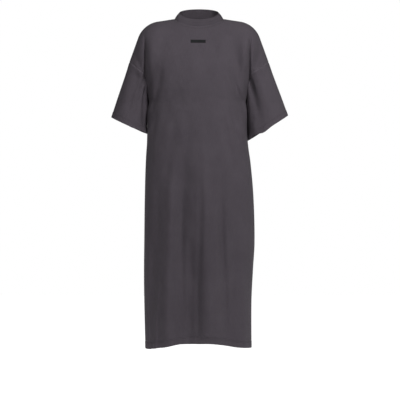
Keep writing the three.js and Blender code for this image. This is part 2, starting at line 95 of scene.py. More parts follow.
# %% Sizes of the dress, the same as its frame
# the neck and the shoulder line, as seen from the front
NECK_HALF = 88                              # middle to the collar's end of the shoulder seam
NECK_LEVEL = {"front": -34, "back": 12}     # height of the collar seam in the middle
NECK_CURVE = {"front": 1.4, "back": 4}      # a higher power makes a squarer neckline
NAPE_LIFT = 38                              # how far the outline arches over the nape
SHOULDER_SLOPE = np.radians(9)
SHOULDER_REACH = 114                        # neck point to the corner that the arc rounds
SHOULDER_ROUND = 90                         # radius of that arc
SLEEVE_LEAN = np.radians(20)                # of the sleeve's outer edge from upright
SHOULDER_SEAM_DROP = 156                    # where the shoulder seam ends
UNDERARM_DROP = 300
# how far the cloth stands in front of the middle and behind it
CHEST_DEPTH = {"front": 132, "back": 123}
ARM_DEPTH = {"front": 74, "back": 74}
ARM_ROUND = 78                              # width of the arm lobe's outer rise
ARM_INNER_ROUND = 60                        # width of its inner rise
BLEND = 4                                   # a higher power leaves a sharper valley
BODY_POWER = 2.4                            # 2 is an oval, and more is boxier
TOWARDS = {"front": -1, "back": 1}          # sign of y on each face
# where the hanging arm presses the side of the body in
PRESS_BACK = 15                             # centre of the press, behind the middle
PRESS_WIDE = 34
PRESS_START = 60                            # above the underarm, where it begins
PRESS_FROM = 0.6                            # share of the half width where it begins
PRESS_EASE = 0.3                            # share over which it grows to its full depth

# %% Tables of the dress, in millimetres
# half width to the left and right, depth to the front and back, and press of the arm
BODY = rows(
    "drop left right front back press",
    (300, 182, 171, 132, 123, 6),
    (340, 190, 177, 134, 122, 16),
    (430, 192, 180, 136, 124, 16),
    (520, 193, 187, 138, 131, 3),
    (640, 195, 196, 140, 140, 0),
    (800, 197, 200, 141, 145, 0),
    (905, 198, 194, 141, 145, 0),
    (1010, 197, 189, 140, 144, 0),
    (1180, 193, 189, 138, 142, 0),
)
# above the underarm: how much wider the body lobe is, and how far inside the arm lobe begins
CREASE = rows(
    "drop wider inside",
    (0, 90, 60), (75, 74, 58), (150, 40, 44), (200, 20, 22), (250, 9, 10), (300, 0, 0),
)
# at each distance out, how far below the outline the chest is at its full depth
SHOULDER_FALL = rows(
    "out front back", (0, 300, 250), (88, 255, 215), (176, 190, 175), (260, 120, 120),
)
# down the armhole: share of the way out to the shoulder seam's end, and drop
ARMHOLE = rows(
    "along out drop",
    (0.00, 1.00, 156), (0.25, 0.68, 174), (0.42, 0.42, 190),
    (0.58, 0.19, 204), (0.78, 0.05, 243), (1.00, 0.00, 300),
)
# the cuff's outer and inner corners, half its depth, how far back its inner corner lies, how
# far the sleeve's front leans in half way down and at the cuff, and the wave in the cuff
CUFF = {
    "right": {"outer": 320, "outer_drop": 347, "inner": 169, "inner_drop": 441, "deep": 77,
              "behind": 12, "lean": 6, "cuff_lean": 1, "wave": 5},
    "left": {"outer": 315, "outer_drop": 354, "inner": 184, "inner_drop": 413, "deep": 87,
             "behind": 10, "lean": 6, "cuff_lean": 6, "wave": 2},
}
# drop of the hem at each turn, in degrees from the middle of the front
HEM = rows("turn drop", (0, 1152), (20, 1158), (45, 1171), (90, 1181), (180, 1185))
# degrees by which each side seam lies in front of the side
SEAM_SWING = rows("drop left right", (300, 0, 0), (820, 0, 0), (960, 20, -4), (1180, 26, -6))
print("hem at", HEM["drop"][0], "mm in front and", HEM["drop"][-1], "mm behind")

# %% [markdown]
# ## Folds
#
# Jersey this heavy hangs in a few long, soft folds. A cloth simulation could find some, but
# not these ones, and it would need a body inside. So each fold is placed one by one: a trough
# (or, with a negative depth, a ridge) that runs from one place to another with a slight bow,
# and dies out at both ends.

# %% The folds, in millimetres
FOLDS = rows(
    "face from_side from_drop to_side to_drop bow wide deep",
    # skirt front: long troughs, the ridges between them and a few narrow creases
    ("front", -60, 400, -66, 1300, 5, 27, 14.3),
    ("front", 16, 380, 20, 1300, -3, 21, -11.7),
    ("front", 3, 470, 1, 1290, 5, 8, 7.8),
    ("front", -57, 560, -60, 1250, -4, 9, 5.9),
    ("front", -34, 740, -26, 1290, 4, 17, 14.3),
    ("front", -99, 430, -113, 1300, 4, 20, -11.7),
    ("front", 58, 520, 66, 1300, 5, 13, -4.5),
    ("front", 80, 540, 92, 1250, -5, 11, 9.8),
    ("front", 122, 640, 112, 1290, 5, 18, 7.2),
    ("front", 158, 820, 160, 1260, -2, 11, -4.5),
    ("front", -150, 520, -142, 1280, 3, 14, 7.5),
    ("front", -143, 860, -156, 1290, 3, 7, -6.5),
    ("front", -166, 700, -168, 1280, 3, 14, 11.7),
    ("front", -12, 780, -9, 1300, 2, 32, 10.4),
    ("front", 41, 560, 42, 1300, 4, 16, -6.5),
    # chest: hollows beside the plateau and the drape from them to the underarm
    ("front", 134, 50, 142, 460, -4, 24, 10.0),
    ("front", -133, 150, -173, 430, 7, 9, 6.0),
    ("front", -152, 280, -176, 560, 4, 11, 6.5),
    ("front", 112, 160, 168, 400, -8, 9, 7.5),
    ("front", 112, 310, 140, 470, -3, 8, 6.0),
    ("front", 88, 330, 128, 620, -5, 13, 4.5),
    ("front", -84, 330, -112, 620, 5, 15, 4.5),
    ("front", -40, 340, -46, 640, 4, 15, 3.0),
    ("front", -10, 60, 0, 330, 2, 60, -4.0),
    # the fold where the body cloth doubles back beside each arm
    ("front", 185, 40, 172, 330, -3, 4, 13.0),
    ("front", 186, 60, 173, 330, -2, 15, 8.0),
    ("front", 214, 60, 208, 200, 2, 12, 8.0),
    ("front", -196, 40, -186, 330, 2, 4, 13.0),
    ("front", -196, 60, -186, 330, 2, 15, 8.0),
    ("front", 175, 330, 177, 540, 0, 13, 13.0),
    ("front", -187, 330, -189, 500, 0, 12, 11.0),
    ("front", 158, 70, 156, 330, 2, 12, -4.0),
    ("front", -170, 70, -166, 330, -2, 12, -4.0),
    # back: between the shoulder blades, and the skirt's own folds
    ("back", 6, 120, 0, 760, 6, 42, 13.0),
    ("back", -60, 520, -74, 1290, 5, 18, 11.7),
    ("back", -66, 640, -72, 1290, 2, 8, 5.2),
    ("back", 38, 560, 52, 1290, -5, 20, 13.0),
    ("back", 46, 700, 54, 1290, -2, 8, 5.9),
    ("back", -12, 640, -10, 1290, 3, 24, -5.2),
    ("back", 128, 640, 124, 1280, 3, 17, 7.8),
    ("back", -136, 600, -130, 1280, -3, 16, 6.5),
    ("back", -102, 140, -152, 450, 8, 15, 9.1),
    ("back", 96, 140, 142, 430, -8, 15, 9.1),
    ("back", -70, 230, -112, 560, 6, 12, 5.2),
    ("back", 74, 250, 104, 540, -6, 12, 4.6),
)
FOLD_FADE = 0.3         # share of its length over which a fold dies out at each end
FOLD_EDGE = 60          # folds are shallower where the cloth is less deep than this
FOLD_TURNS = 1.1        # turns of the sine that bows a fold's path

SLEEVE_FOLDS = rows(
    "side face from_turn from_along to_turn to_along wide deep",
    ("left", "front", 0.56, -0.15, 0.84, 1.00, 0.035, 8.0),
    ("left", "front", 0.60, -0.25, 0.90, 1.10, 0.080, 7.0),
    ("left", "front", 0.36, -0.25, 0.42, 0.95, 0.085, 9.0),
    ("left", "back", 0.50, -0.10, 0.76, 0.95, 0.050, 5.0),
    ("left", "back", 0.28, 0.00, 0.34, 1.10, 0.080, 3.0),
    ("right", "front", 0.80, -0.10, 0.88, 1.05, 0.050, 6.0),
    ("right", "front", 0.58, -0.20, 0.66, 0.80, 0.110, 3.5),
    ("right", "front", 0.72, 0.62, 0.66, 1.30, 0.050, -4.0),
    ("right", "back", 0.52, -0.10, 0.78, 0.95, 0.050, 5.0),
    ("right", "back", 0.26, 0.10, 0.30, 1.20, 0.080, 3.0),
)
print(len(FOLDS["deep"]), "folds in the panels,", len(SLEEVE_FOLDS["deep"]), "in the sleeves")

# four slow waves: length across and down, where each starts and its height
CRUMPLE = rows(
    "across down start size",
    (61, 173, 0.3, 0.35), (-83, 241, 1.9, 0.60), (37, -127, 4.2, 0.15), (29, 97, 2.6, 0.10),
)


# %% What pushes the cloth in
def fold_push(face, x, z):
    """How far the folds push the cloth in: for each fold a bell across its path, eased in and
    out along it. The path is a straight line plus bow times a sine of FOLD_TURNS turns."""
    push = np.zeros_like(x)
    for k in np.flatnonzero(FOLDS["face"] == face):
        fold = {name: column[k] for name, column in FOLDS.items()}
        t = (-z - fold["from_drop"]) / (fold["to_drop"] - fold["from_drop"])
        inside = np.clip(t, 0, 1)
        path = (fold["from_side"] * (1 - inside) + fold["to_side"] * inside
                + fold["bow"] * np.sin(2 * np.pi * FOLD_TURNS * inside))
        ends = eased(np.minimum(inside, 1 - inside) / FOLD_FADE)
        push += fold["deep"] * bell((x - path) / fold["wide"]) * ends
    return push


def crumple(x, z):
    """Slight unevenness everywhere: a sum of slow sine waves that cross at different slants."""
    return sum(size * np.sin(2 * np.pi * (x / across + z / down) + start)
               for across, down, start, size in zip(*CRUMPLE.values()))


# %% [markdown]
# ## The worn form
#
# Seen from the front, the dress has an outline: down the shoulder, round an arc and down the
# sleeve. The cloth over any place inside it is so deep, by two soft lobes, the body and the
# arm, which run together over the shoulder and part under the arm. Below the underarm the
# body is a boxy oval. Everything else samples this one form, so neighbouring pieces meet.


# %% Shoulder outline
def heading(angle_down):
    """A unit step out and down at an angle below level."""
    return np.array([np.cos(angle_down), -np.sin(angle_down)])


ALONG = heading(SHOULDER_SLOPE)
DOWN = heading(np.pi / 2 - SLEEVE_LEAN)
NECK_POINT = np.array([NECK_HALF, 0.0])
CORNER = NECK_POINT + SHOULDER_REACH * ALONG
TURN = np.pi / 2 - SHOULDER_SLOPE - SLEEVE_LEAN
TANGENT = SHOULDER_ROUND * np.tan(TURN / 2)
ARC_START = CORNER - TANGENT * ALONG
ARC_END = CORNER + TANGENT * DOWN
CENTRE = ARC_START + SHOULDER_ROUND * np.array([ALONG[1], -ALONG[0]])
SEAM_END = ARC_END + DOWN * (-SHOULDER_SEAM_DROP - ARC_END[1]) / DOWN[1]
LENGTHS = np.array([np.linalg.norm(ARC_START - NECK_POINT), SHOULDER_ROUND * TURN,
                    np.linalg.norm(SEAM_END - ARC_END)])
print("shoulder seam", round(LENGTHS.sum()), "mm")


def shoulder_seam(share):
    """Out and up along the seam: a straight run, an arc about CENTRE, then a straight run."""
    walked = np.asarray(share) * LENGTHS.sum()
    arc = np.clip(walked - LENGTHS[0], 0, LENGTHS[1])
    angle = np.pi / 2 - SHOULDER_SLOPE - arc / SHOULDER_ROUND
    first = np.minimum(walked - LENGTHS[0], 0)
    last = np.maximum(walked - LENGTHS[0] - LENGTHS[1], 0)
    out = CENTRE[0] + SHOULDER_ROUND * np.cos(angle) + first * ALONG[0] + last * DOWN[0]
    up = CENTRE[1] + SHOULDER_ROUND * np.sin(angle) + first * ALONG[1] + last * DOWN[1]
    return out, up


def ridge(face, out):
    """Height of the outline above a place; inside the collar it arches over the neck."""
    slope = np.tan(SHOULDER_SLOPE)
    share = np.clip(out / NECK_HALF, 0, 1) ** 2
    nape = NAPE_LIFT * (1 - share) ** 2 if face == "back" else 0
    inside = slope * NECK_HALF * (1 - share) / 2 + nape
    straight = -slope * (out - NECK_HALF)
    arc = CENTRE[1] + np.sqrt(np.maximum(SHOULDER_ROUND**2 - (out - CENTRE[0]) ** 2, 0))
    sleeve = ARC_END[1] + (out - ARC_END[0]) * DOWN[1] / DOWN[0]
    return np.select([out <= NECK_HALF, out <= ARC_START[0], out <= ARC_END[0]],
                     [inside, straight, arc], sleeve)


def in_from_outline(out, up):
    """Distance from the nearest part of the outline, for places inside it."""
    dx, dz = out - CENTRE[0], up - CENTRE[1]
    at_arc = (dx * ALONG[0] + dz * ALONG[1] > 0) & (dx * DOWN[0] + dz * DOWN[1] < 0)
    shoulder = np.abs((out - NECK_POINT[0]) * ALONG[1] - (up - NECK_POINT[1]) * ALONG[0])
    sleeve = np.abs((out - CORNER[0]) * DOWN[1] - (up - CORNER[1]) * DOWN[0])
    return np.where(at_arc, SHOULDER_ROUND - np.hypot(dx, dz), np.minimum(shoulder, sleeve))


# %% Depth of the cloth, and its folds
def by_side(x, left, right):
    """Left values where x is negative, right values elsewhere."""
    return np.where(x < 0, left, right)


def upper_depth(face, x, z):
    """Above the underarm: body and arm lobes joined by a power mean, (b^4 + a^4)^(1/4)."""
    out, drop = np.abs(x), -z
    underarm = by_side(x, BODY["left"][0], BODY["right"][0])
    body_half = underarm + read(CREASE, "drop", "wider", drop)
    arm_inner = underarm - read(CREASE, "drop", "inside", drop)
    fall = (ridge(face, out) - z) / read(SHOULDER_FALL, "out", face, out)
    body = CHEST_DEPTH[face] * rounded(1 - np.clip(fall, 0, 1), 2) * rounded(out / body_half, BODY_POWER)
    outer = rounded(1 - np.clip(in_from_outline(out, z) / ARM_ROUND, 0, 1), 2)
    inner = rounded(1 - np.clip((out - arm_inner) / ARM_INNER_ROUND, 0, 1), BODY_POWER)
    arm = ARM_DEPTH[face] * outer * inner
    return (body**BLEND + arm**BLEND) ** (1 / BLEND)


def lower_depth(face, x, z):
    """From the underarm to the hem: a boxy oval, depth times (1 - (x/half)^p)^(1/p)."""
    half = by_side(x, read(BODY, "drop", "left", -z), read(BODY, "drop", "right", -z))
    return read(BODY, "drop", face, -z) * rounded(x / half, BODY_POWER)


def cloth(face, x, z):
    """The cloth over places seen from the front or back, as an array of points. The folds
    push it in, and the hanging arm presses the side of the body in beside the sleeve."""
    depth = np.where(-z < UNDERARM_DROP, upper_depth(face, x, z), lower_depth(face, x, z))
    push = (fold_push(face, x, z) + crumple(x, z)) * np.minimum(1, depth / FOLD_EDGE)
    y = TOWARDS[face] * (depth - push)
    share = np.abs(x) / by_side(x, BODY["left"][0], BODY["right"][0])
    at_side = eased((share - PRESS_FROM) / PRESS_EASE)
    begun = eased((-z - UNDERARM_DROP) / PRESS_START + 1)
    press = read(BODY, "drop", "press", -z) * at_side * begun * bell((y - PRESS_BACK) / PRESS_WIDE)
    return np.stack([x - np.sign(x) * press, y, z], axis=-1)


# %% [markdown]
# ## Panels
#
# A panel is a grid. Its columns start at the collar seam or the shoulder seam and run down to
# the hem. Above the underarm its four edges are blended across, which is called a Coons
# patch. Below, the columns spread round half the oval. The grid is finer beside the seams
# and the hem, where small shapes sit, because even rows would waste triangles elsewhere.

# %% How fine the grids are
NECK_COLUMNS = 18
SHOULDER_COLUMNS = 54
UPPER_ROWS = 96
LOWER_ROWS = 104
HEM_ROWS = 16
HEM_DEPTH = 25          # turned-up hem of the skirt
HEM_MARGIN = 3          # the fine rows reach this far above it
SKIRT_LENGTH = 880      # underarm to hem
ALONG_NECK = 5 / 13     # share of a half panel's columns that the collar seam takes
TOP_CROWDING = 2.5      # depth grows like a square root from the seam, so rows start close
SIDE_CROWDING = 1.5     # the same towards the armhole and the side seam

crowded = 1 - (1 - np.linspace(0, 1, SHOULDER_COLUMNS + 1)) ** SIDE_CROWDING
half_columns = np.concatenate([
    np.linspace(0, ALONG_NECK, NECK_COLUMNS, endpoint=False),
    ALONG_NECK + (1 - ALONG_NECK) * crowded,
])
COLUMNS = np.concatenate([-half_columns[:0:-1], half_columns])
UPPER = np.linspace(0, 1, UPPER_ROWS + 1) ** TOP_CROWDING
HEM_SHARE = (HEM_DEPTH + HEM_MARGIN) / SKIRT_LENGTH
LOWER = np.concatenate([
    np.linspace(0, 1 - HEM_SHARE, LOWER_ROWS + 1)[1:], np.linspace(1 - HEM_SHARE, 1, HEM_ROWS + 1)[1:],
])
print("panel grid", len(UPPER) + len(LOWER), "rows by", len(COLUMNS), "columns")


# %% A panel's points
def top_edge(face, u):
    """Out and up along the top: the collar seam, then the shoulder seam."""
    turn = np.pi / 2 * np.minimum(u / ALONG_NECK, 1)
    neck = NECK_HALF * np.sin(turn), NECK_LEVEL[face] * np.maximum(np.cos(turn), 0) ** NECK_CURVE[face]
    seam = shoulder_seam(np.maximum(u - ALONG_NECK, 0) / (1 - ALONG_NECK))
    return [np.where(u > ALONG_NECK, s, n) for s, n in zip(seam, neck)]


def upper_places(face, side, u, t):
    """Coons patch: blend top with bottom, middle with edge, less the blend of the corners."""
    half = BODY[side][0]
    top = top_edge(face, u)
    edge = [half + (SEAM_END[0] - half) * read(ARMHOLE, "along", "out", t),
            -read(ARMHOLE, "along", "drop", t)]
    bottom = [half * np.sin(np.pi / 2 * u), np.full_like(u, -UNDERARM_DROP)]
    middle = [np.zeros_like(t), NECK_LEVEL[face] * (1 - t) - UNDERARM_DROP * t]
    corners = [(0, SEAM_END[0], 0, half), (NECK_LEVEL[face], SEAM_END[1], -UNDERARM_DROP, -UNDERARM_DROP)]
    return [(1 - t) * top[k] + t * bottom[k] + (1 - u) * middle[k] + u * edge[k]
            - (1 - u) * (1 - t) * corners[k][0] - u * (1 - t) * corners[k][1]
            - (1 - u) * t * corners[k][2] - u * t * corners[k][3] for k in (0, 1)]


def upper_points(face):
    """The upper rows of a panel, left half and right half side by side."""
    halves = []
    for side, way in (("left", -1), ("right", 1)):
        u = COLUMNS[COLUMNS < 0] if side == "left" else COLUMNS[COLUMNS >= 0]
        t, u = np.meshgrid(UPPER, u, indexing="ij")
        out, up = upper_places(face, side, np.abs(u), t)
        halves.append(cloth(face, way * out, up))
    return np.concatenate(halves, axis=1)


def lower_points(face):
    """The lower rows: the turn round the oval goes from -90 to 90 degrees, and the swing of
    each side seam carries its end past the side, on to the other face of the body. The swing
    grows with the cube of the share of the way from the middle to the seam."""
    t, u = np.meshgrid(LOWER, COLUMNS, indexing="ij")
    middle = 90 * np.abs(u)
    round_turn = middle if face == "front" else 180 - middle
    drop = UNDERARM_DROP + (read(HEM, "turn", "drop", round_turn) - UNDERARM_DROP) * t
    swing = by_side(u, read(SEAM_SWING, "drop", "left", drop), read(SEAM_SWING, "drop", "right", drop))
    swing = swing * np.abs(u) ** 3 * (-1 if face == "front" else 1)
    turn = middle + swing
    half = by_side(u, read(BODY, "drop", "left", drop), read(BODY, "drop", "right", drop))
    x = np.sign(u) * half * np.sin(np.radians(turn))
    other = "back" if face == "front" else "front"
    return np.where((turn > 90)[..., None], cloth(other, x, -drop), cloth(face, x, -drop))


panels = {face: np.concatenate([upper_points(face), lower_points(face)]) for face in TOWARDS}
for face, points in panels.items():
    print(face, "panel spans", np.round(np.ptp(points.reshape(-1, 3), axis=0)).tolist(), "mm")

# %% [markdown]
# ## Sleeves
#
# A set-in sleeve is a tube sewn to the armhole. Its upper edge is the armhole edge of the two
# panels, taken from their points, and its lower edge is an oval, tilted because the arm
# carries the top of the sleeve out. Straight lines between the two are just what flat cloth
# rolled into a tube would give. Beside the body the tube bows a little to stay clear of it,
# but its front leans in, because there the cloth rests on the body and no light shows between.

# %% How fine the sleeves are, and what bends them
SLEEVE_ROWS = 54
CUFF_ROWS = 14
CUFF_START = 0.88           # share of the sleeve's length where the finer rows begin
CUFF_HEM_DEPTH = 23         # turned-up hem of a sleeve
SLEEVE_BOW = 6              # out from the body, half way down
LEAN_TURN = 0.86            # where on the turn the front leans in, 1 being the inner seam
LEAN_WIDE = 0.13
LEAN_FULL = 0.2             # share of the length by which the lean is complete
LEAN_CHANGE = 0.45          # share of the length where it starts to change to the cuff's
CUFF_FRONT_DROOP = 4
CUFF_INNER_POWER = 0.80     # under 1 squares the cuff's front inner corner
WAVE_DOWN = 0.55            # turns at which the cuff's wave dips and rises
WAVE_UP = 0.69
WAVE_WIDE = 0.07

# %% Sleeve points
SLEEVE_STATIONS = np.concatenate([
    np.linspace(0, 1, SLEEVE_ROWS + 1)[:-1] * CUFF_START, np.linspace(CUFF_START, 1, CUFF_ROWS + 1),
])


def shares(points):
    """Share of a line's length at each of its points."""
    steps = np.linalg.norm(np.diff(points, axis=0), axis=1)
    walked = np.concatenate([[0], np.cumsum(steps)])
    return walked / walked[-1]


def ring(front, back):
    """Two lists with the same ends as one closed ring: down the front, up the back."""
    return np.concatenate([front, back[-2:0:-1]])


def cuff_points(side, face, turn):
    """Half of the cuff's oval: turn 0 is its outer corner and 1 its inner corner. Out goes
    with the cosine of the turn and depth with its sine, to a power that squares the front
    inner corner. The front also droops with the sine, and a dip and a rise make its wave."""
    cuff = CUFF[side]
    angle = np.pi * turn
    across = (1 + np.cos(angle)) / 2
    x = cuff["inner"] + (cuff["outer"] - cuff["inner"]) * across
    boxy = np.where(turn > 0.5, CUFF_INNER_POWER, 1.0) if face == "front" else 1.0
    y = cuff["behind"] * (1 - across) + TOWARDS[face] * cuff["deep"] * np.abs(np.sin(angle)) ** boxy
    drop = cuff["inner_drop"] + (cuff["outer_drop"] - cuff["inner_drop"]) * across
    wave = bell((turn - WAVE_DOWN) / WAVE_WIDE) - bell((turn - WAVE_UP) / WAVE_WIDE)
    droop = CUFF_FRONT_DROOP * np.sin(angle) + cuff["wave"] * wave if face == "front" else 0
    return np.stack([(-1 if side == "left" else 1) * x, y, -drop - droop], axis=-1)


def sleeve_points(side):
    """Straight lines from armhole to cuff, moved out by the bow and, over a bell of turns on
    the front, in by the lean. The bow grows with the square of the turn and the square root
    of a sine along the length. Gives the points and each column's turn and face."""
    column = 0 if side == "left" else -1
    armhole = {face: panels[face][:UPPER_ROWS + 1, column] for face in TOWARDS}
    turns = {face: shares(armhole[face]) for face in TOWARDS}
    top = ring(armhole["front"], armhole["back"])
    bottom = ring(*(cuff_points(side, face, turns[face]) for face in TOWARDS))
    turn = ring(turns["front"], turns["back"])
    in_front = np.arange(len(turn)) <= UPPER_ROWS
    t = SLEEVE_STATIONS[:, None]
    points = top[None] * (1 - t[..., None]) + bottom[None] * t[..., None]
    low = eased((t - LEAN_CHANGE) / (1 - LEAN_CHANGE))
    lean = (CUFF[side]["lean"] * (1 - low) + CUFF[side]["cuff_lean"] * low) * eased(t / LEAN_FULL)
    lean = lean * bell((turn - LEAN_TURN) / LEAN_WIDE) * in_front
    bow = SLEEVE_BOW * turn**2 * np.sqrt(np.abs(np.sin(np.pi * t))) - lean
    points[..., 0] += (-1 if side == "left" else 1) * bow
    return points, turn, in_front


# %% Which way is out of the cloth
def facing(points, closed):
    """Unit direction square to the grid lines at every point; closed joins last to first."""
    if closed:
        across = np.roll(points, -1, axis=1) - np.roll(points, 1, axis=1)
    else:
        across = np.gradient(points, axis=1)
    square = np.cross(across, np.gradient(points, axis=0))
    return square / np.maximum(np.linalg.norm(square, axis=-1, keepdims=True), 1e-9)


def outward(points, closed):
    """The same, turned so that on the whole it points away from the middle of the piece."""
    middle = points.mean(axis=1, keepdims=True) if closed else points * [0, 0, 1]
    square = facing(points, closed)
    return square * np.sign(((points - middle) * square).sum())


# %% Sleeve folds, pushed in square to the cloth
CALM = 0.15             # share of the length over which folds grow from the armhole seam
RIPPLE = 0.6            # slight unevenness: height, half waves round and slant
RIPPLE_ROUND = 7
RIPPLE_SLANT = 5


def folded_sleeve(side):
    """The sleeve's points with its folds: bells across paths in turn and share of length."""
    points, turn, in_front = sleeve_points(side)
    t = SLEEVE_STATIONS[:, None]
    push = np.zeros(points.shape[:2])
    for k in np.flatnonzero(SLEEVE_FOLDS["side"] == side):
        fold = {name: column[k] for name, column in SLEEVE_FOLDS.items()}
        along = (t - fold["from_along"]) / (fold["to_along"] - fold["from_along"])
        inside = np.clip(along, 0, 1)
        path = fold["from_turn"] * (1 - inside) + fold["to_turn"] * inside
        mask = in_front if fold["face"] == "front" else ~in_front
        ends = eased(np.minimum(inside, 1 - inside) / FOLD_FADE)
        push += fold["deep"] * bell((turn - path) / fold["wide"]) * ends * mask
    push = push + RIPPLE * np.sin(RIPPLE_ROUND * np.pi * turn + RIPPLE_SLANT * t)
    push = push * eased(t / CALM)
    return points - push[..., None] * outward(points, True)


sleeves = {side: folded_sleeve(side) for side in CUFF}
for side, points in sleeves.items():
    steps = np.linalg.norm(points[-1] - np.roll(points[-1], 1, axis=0), axis=1)
    print(side, "cuff is", round(steps.sum()), "mm round")

# %% [markdown]
# ## Seams and hems
#
# A sewn seam sinks: the cloth rolls down to the stitches on both sides. A turned hem is two
# layers, so it stands a little proud, with a groove where the needles went. Both could be
# painted on as bump alone, but real shape catches light along edges. Each point's distance
# from the nearest seam line and from the hem drives these small steps, and is stored on the
# mesh, so that the material can draw the stitches at the same places.

# %% Distances from seams and hems
SEAM_SINK = 0.9         # depth and width of the ditch along a seam
SEAM_WIDE = 2.6
HEM_PROUD = 0.7         # how far a turned hem stands out, and how wide the step up to it is
HEM_STEP = 1.5
GROOVE = 0.7            # depth and width of the groove where the needles went
GROOVE_WIDE = 1.3
EDGE_ROLL = 0.5         # how far the very edge rolls in, and over what width
EDGE_WIDE = 1.6
NECK_REACH = 60         # distances from a seam line are measured no further than this
UNDER_REACH = 40
FAR = 99.0              # stands for no such edge nearby


def walked_from(points, axis, end):
    """Distance along the grid lines of one axis, from its first (0) or last (-1) line."""
    steps = np.linalg.norm(np.diff(points, axis=axis), axis=-1)
    total = np.cumsum(steps, axis=axis)
    zero = np.zeros_like(np.take(total, [0], axis=axis))
    walked = np.concatenate([zero, total], axis=axis)
    return walked if end == 0 else np.take(walked, [-1], axis=axis) - walked


def near_line(points, line, reach):
    """Distance of each point from the nearest point of a line, no more than reach: every
    point less every point of the line, and the shortest of those."""
    away = np.linalg.norm(points[:, :, None] - line, axis=-1)
    return np.minimum(away.min(axis=-1), reach)


def sunk(points, closed, seam, hem, hem_depth):
    """Moves points square to the cloth: out over the hem by an eased step, and in by a bell
    at each seam, by another at the needles' groove and by a third at the very edge."""
    ditch = SEAM_SINK * bell(seam / SEAM_WIDE)
    turned = HEM_PROUD * eased((hem_depth - hem) / HEM_STEP + 0.5)
    groove = GROOVE * bell((hem - hem_depth) / GROOVE_WIDE)
    edge = EDGE_ROLL * bell(hem / EDGE_WIDE)
    return points + (turned - ditch - groove - edge)[..., None] * outward(points, closed)


# %% [markdown]
# ## Meshes
#
# A grid of points becomes a mesh with one face for each cell. Two maps go with it: a UV map
# in metres of cloth, so that knit and stitches keep their real scale, and the distances just
# worked out. Solidify then gives the sheet its thickness, inwards.

# %% From a grid to a piece
def grid_faces(row_count, column_count, closed):
    """Corner numbers of each cell, going round; closed joins the last column to the first."""
    across = column_count if closed else column_count - 1
    row, column = np.meshgrid(np.arange(row_count - 1), np.arange(across), indexing="ij")
    beside = (column + 1) % column_count
    corners = [row * column_count + column, (row + 1) * column_count + column,
               (row + 1) * column_count + beside, row * column_count + beside]
    return np.stack(corners, axis=-1).reshape(-1, 4)


def new_piece(name, corners, faces, uv, marks):
    """A smooth mesh in metres, with a UV pair for each corner of each face and its marks, one
    value for each point."""
    mesh = bpy.data.meshes.new(name)
    mesh.from_pydata(corners.tolist(), [], faces.tolist())
    mesh.polygons.foreach_set("use_smooth", np.ones(len(faces), dtype=bool))
    layer = mesh.uv_layers.new(name="cloth")
    layer.data.foreach_set("uv", uv.reshape(-1).astype(np.float32))
    for mark, values in marks.items():
        layer = mesh.attributes.new(mark, "FLOAT", "POINT")
        layer.data.foreach_set("value", (values.reshape(-1) * MM).astype(np.float32))
    mesh.update()
    piece = bpy.data.objects.new(name, mesh)
    bpy.context.scene.collection.objects.link(piece)
    return piece


def sheet_piece(name, points, closed, marks, uv):
    """A piece from one grid. Its faces are turned round if, summed over the grid, their own
    directions go against the direction out of the cloth."""
    faces = grid_faces(*points.shape[:2], closed)
    corners = points.reshape(-1, 3) * MM
    a, b, c = (corners[faces[:, k]] for k in (0, 1, 2))
    out = outward(points, closed).reshape(-1, 3)[faces[:, 0]]
    if (np.cross(b - a, c - a) * out).sum() < 0:
        faces, uv = faces[:, ::-1], uv[:, ::-1]
    return new_piece(name, corners, faces, uv, marks)


# %% A map in metres of cloth
def cell_map(across, down, closed):
    """UV of each cell's four corners from arrays of distance across and down the grid.
    In a closed ring the last cell ends at the full girth, not back at zero."""
    if closed:
        step = across[:, 1:2] - across[:, :1]
        across = np.concatenate([across, across[:, -1:] + step], axis=1)
        down = np.concatenate([down, down[:, :1]], axis=1)
    corners = [(across[:-1, :-1], down[:-1, :-1]), (across[1:, :-1], down[1:, :-1]),
               (across[1:, 1:], down[1:, 1:]), (across[:-1, 1:], down[:-1, 1:])]
    return np.stack([np.stack(pair, axis=-1) for pair in corners], axis=2).reshape(-1, 4, 2) * MM


# %% Thickness, and what each piece stands for
def thicken(piece, millimetres):
    """Solidify inwards, so that the outer face keeps its place."""
    wall = piece.modifiers.new("wall", "SOLIDIFY")
    wall.thickness = millimetres * MM
    wall.offset = -1
    wall.use_even_offset = False


def finish_piece(piece, node_name):
    """Rides on the one body and hides the frame's node that it stands for."""
    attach(piece, "root")
    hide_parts(node_name)


# %% [markdown]
# ## Cutting and sewing
#
# A real dress is cut flat and sewn. Here the worn grids are already in place, so sewing is
# only putting the edges of two neighbours on one line, their mean. Merging the pieces into
# one mesh would hide the seams too, but a maker's pieces are then no longer separate.

# %% Thickness of the jersey
JERSEY_WALL = 1.5       # thickness of the jersey, in millimetres


# %% Front and back, sewn to each other
COLLAR_COLUMNS = slice(SHOULDER_COLUMNS, SHOULDER_COLUMNS + 2 * NECK_COLUMNS + 1)
SHOULDER = np.abs(COLUMNS) >= ALONG_NECK


def panel_marks(points):
    """Distances over one panel: from its sewn edges, from its hem and from the collar."""
    sides = np.minimum(walked_from(points, 1, 0), walked_from(points, 1, -1))
    shoulder = np.where(SHOULDER, walked_from(points, 0, 0), FAR)
    neck = near_line(points, points[0, COLLAR_COLUMNS], NECK_REACH)
    seam = np.minimum(np.minimum(sides, shoulder), neck)
    return {"from_seam": seam, "from_hem": walked_from(points, 0, -1), "from_neck": neck}


def sew(first, second, where):
    """Puts the points of two edges on one line, half of the sum of both."""
    line = (first[where] + second[where]) / 2
    first[where], second[where] = line, line


